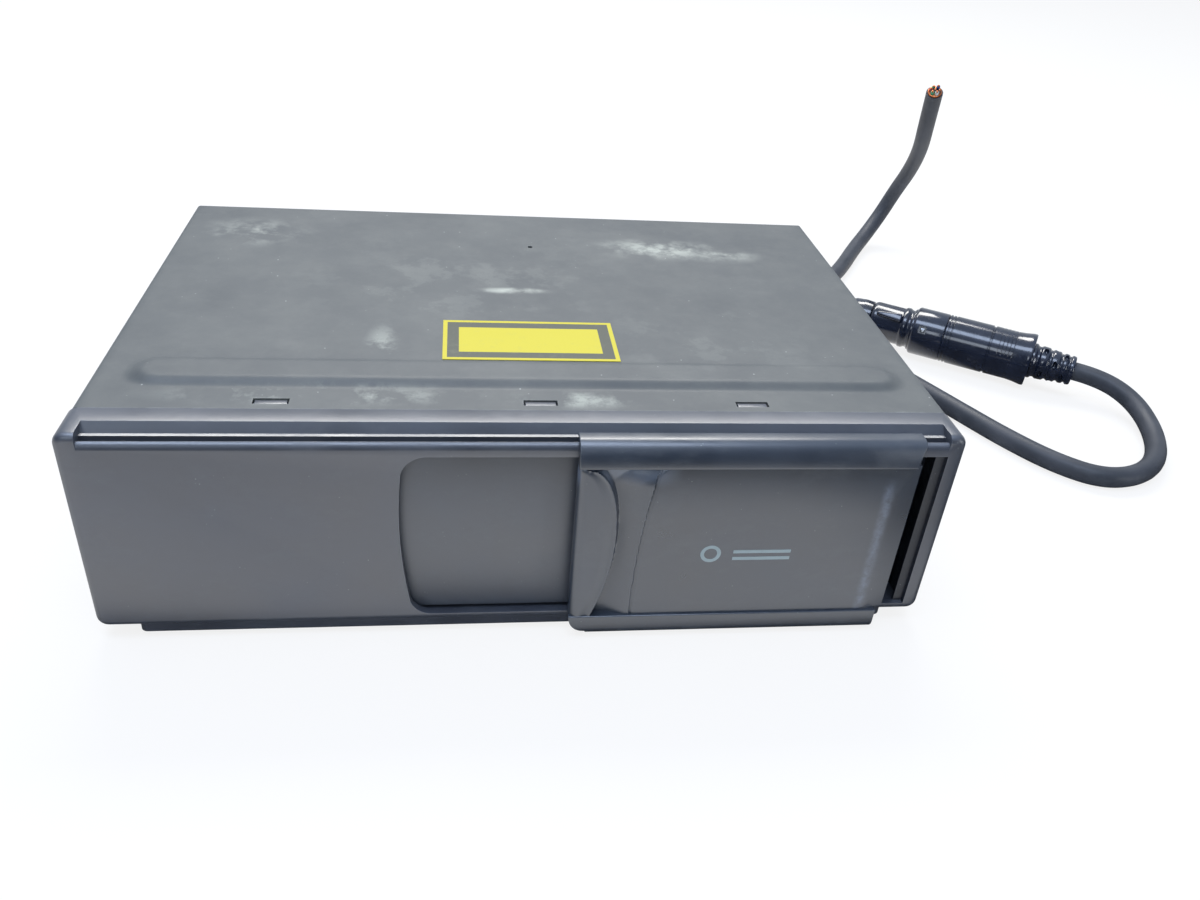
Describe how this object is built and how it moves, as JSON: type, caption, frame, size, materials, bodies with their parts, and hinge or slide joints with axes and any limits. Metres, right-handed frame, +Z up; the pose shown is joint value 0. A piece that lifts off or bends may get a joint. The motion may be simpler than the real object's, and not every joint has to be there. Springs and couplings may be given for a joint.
{
  "type": "car disc changer",
  "caption": "Flat car-boot disc changer with a sliding front door, a disc magazine with sliding trays, a lifting player deck and a round-plug lead.",
  "frame": {"origin": "on the surface under the feet, below the middle of the housing", "axes": "+X to the unit's right seen from the front, -Y towards the loading side, +Z up"},
  "size_m": [0.4157, 0.355, 0.1097],
  "materials": {
    "bezel_plastic": "satin moulded",
    "door_plastic": "satin moulded",
    "shutter_plastic": "satin moulded",
    "cover_paint": "matt dark grey, dusty",
    "zinc_steel": "zinc plated",
    "bright_steel": "ground",
    "damper_rubber": "matt",
    "circuit_board": "solder mask",
    "component_plastic": "moulded",
    "magazine_plastic": "grained",
    "tray_plastic": "smooth",
    "disc_mirror": "mirror",
    "mechanism_plastic": "smooth",
    "lens_glass": "clear",
    "cable_jacket": "satin jacket",
    "plug_gloss": "gloss moulded",
    "copper": "bare ends"
  },
  "bodies": {
    "housing": {"front_bezel": "bezel_plastic", "top_cover": "cover_paint", "cover_screws": "cover_paint", "base_tray": "zinc_steel", "rear_panel": "zinc_steel", "mouth_panel": "zinc_steel", "mech_chassis": "zinc_steel", "magazine_guide": "zinc_steel", "bracket_nuts": "zinc_steel", "guide_posts": "bright_steel", "oil_dampers": "damper_rubber", "cable_grommet": "damper_rubber", "main_circuit_board": "circuit_board", "board_components": "component_plastic", "board_standoffs": "component_plastic", "lead_cable": "cable_jacket", "pigtail_cable": "cable_jacket", "socket_shell": "plug_gloss", "socket_boot": "plug_gloss", "locking_collar": "plug_gloss", "plug_shell": "plug_gloss", "plug_boot": "plug_gloss", "cut_conductors": "copper"},
    "sliding_door": {"door_top_roll": "door_plastic", "door_panel": "door_plastic"},
    "shutter": {"inner_shutter": "shutter_plastic"},
    "eject_button": {"eject_button": "shutter_plastic"},
    "eject_lever": {"eject_lever": "zinc_steel"},
    "magazine": {"magazine_case": "magazine_plastic"},
    "deck": {"lift_deck": "zinc_steel", "spindle_motor": "bright_steel", "sled_rods": "bright_steel"},
    "turntable": {"turntable": "mechanism_plastic"},
    "clamp_arm": {"clamp_arm": "zinc_steel"},
    "clamp_puck": {"clamp_puck": "mechanism_plastic"},
    "pickup_sled": {"pickup_sled": "mechanism_plastic", "pickup_lens": "lens_glass"},
    "lift_cam": {"lift_cam": "zinc_steel"},
    "tray_1": {"tray_1": "tray_plastic", "disc_1": "disc_mirror"},
    "tray_2": {"tray_2": "tray_plastic", "disc_2": "disc_mirror"},
    "tray_3": {"tray_3": "tray_plastic", "disc_3": "disc_mirror"},
    "tray_4": {"tray_4": "tray_plastic", "disc_4": "disc_mirror"},
    "tray_5": {"tray_5": "tray_plastic", "disc_5": "disc_mirror"},
    "tray_6": {"tray_6": "tray_plastic", "disc_6": "disc_mirror"}
  },
  "joints": [
    {"name": "door_slide", "type": "slide", "parent": "housing", "child": "sliding_door", "axis": [-1, 0, 0], "range_m": [-0.0075, 0.129]},
    {"name": "shutter_slide", "type": "slide", "parent": "housing", "child": "shutter", "axis": [-1, 0, 0], "range_m": [-0.00425, 0.0725]},
    {"name": "eject_push", "type": "slide", "parent": "housing", "child": "eject_button", "axis": [0, 1, 0], "range_m": [0, 0.002], "stiffness_N_per_m": 300},
    {"name": "eject_lever_turn", "type": "hinge", "parent": "housing", "child": "eject_lever", "pos_m": [0.084, -0.06025, 0.017], "axis": [0, 0, 1], "range_deg": [0, 7]},
    {"name": "magazine_slide", "type": "slide", "parent": "housing", "child": "magazine", "axis": [0, 1, 0], "range_m": [-0.004, 0]},
    {"name": "lift_cam_slide", "type": "slide", "parent": "housing", "child": "lift_cam", "axis": [0, -1, 0], "range_m": [-0.03, 0]},
    {"name": "deck_lift", "type": "slide", "parent": "housing", "child": "deck", "axis": [0, 0, -1], "range_m": [-0.0365, 0]},
    {"name": "turntable_spin", "type": "hinge", "parent": "deck", "child": "turntable", "pos_m": [-0.057, -0.00725, 0.015], "axis": [0, 0, 1], "continuous": true},
    {"name": "clamp_arm_lift", "type": "hinge", "parent": "deck", "child": "clamp_arm", "pos_m": [-0.057, 0.04775, 0.017], "axis": [1, 0, 0], "range_deg": [-4.5, 0]},
    {"name": "clamp_puck_spin", "type": "hinge", "parent": "clamp_arm", "child": "clamp_puck", "pos_m": [-0.057, -0.00725, 0.019], "axis": [0, 0, 1], "continuous": true},
    {"name": "sled_travel", "type": "slide", "parent": "deck", "child": "pickup_sled", "axis": [0, -1, 0], "range_m": [0, 0.028]},
    {"name": "tray_1_slide", "type": "slide", "parent": "magazine", "child": "tray_1", "axis": [-1, 0, 0], "range_m": [0, 0.11]},
    {"name": "tray_2_slide", "type": "slide", "parent": "magazine", "child": "tray_2", "axis": [-1, 0, 0], "range_m": [0, 0.11]},
    {"name": "tray_3_slide", "type": "slide", "parent": "magazine", "child": "tray_3", "axis": [-1, 0, 0], "range_m": [0, 0.11]},
    {"name": "tray_4_slide", "type": "slide", "parent": "magazine", "child": "tray_4", "axis": [-1, 0, 0], "range_m": [0, 0.11]},
    {"name": "tray_5_slide", "type": "slide", "parent": "magazine", "child": "tray_5", "axis": [-1, 0, 0], "range_m": [0, 0.11]},
    {"name": "tray_6_slide", "type": "slide", "parent": "magazine", "child": "tray_6", "axis": [-1, 0, 0], "range_m": [0, 0.11]}
  ],
  "couplings": [
    {"joint": "shutter_slide", "follows": "door_slide", "ratio": 0.56},
    {"joint": "eject_lever_turn", "follows": "eject_push", "rad_per_m": 60},
    {"joint": "deck_lift", "follows": "lift_cam_slide", "ratio": 1.2167},
    {"joint": "clamp_puck_spin", "follows": "turntable_spin", "ratio": 1}
  ]
}
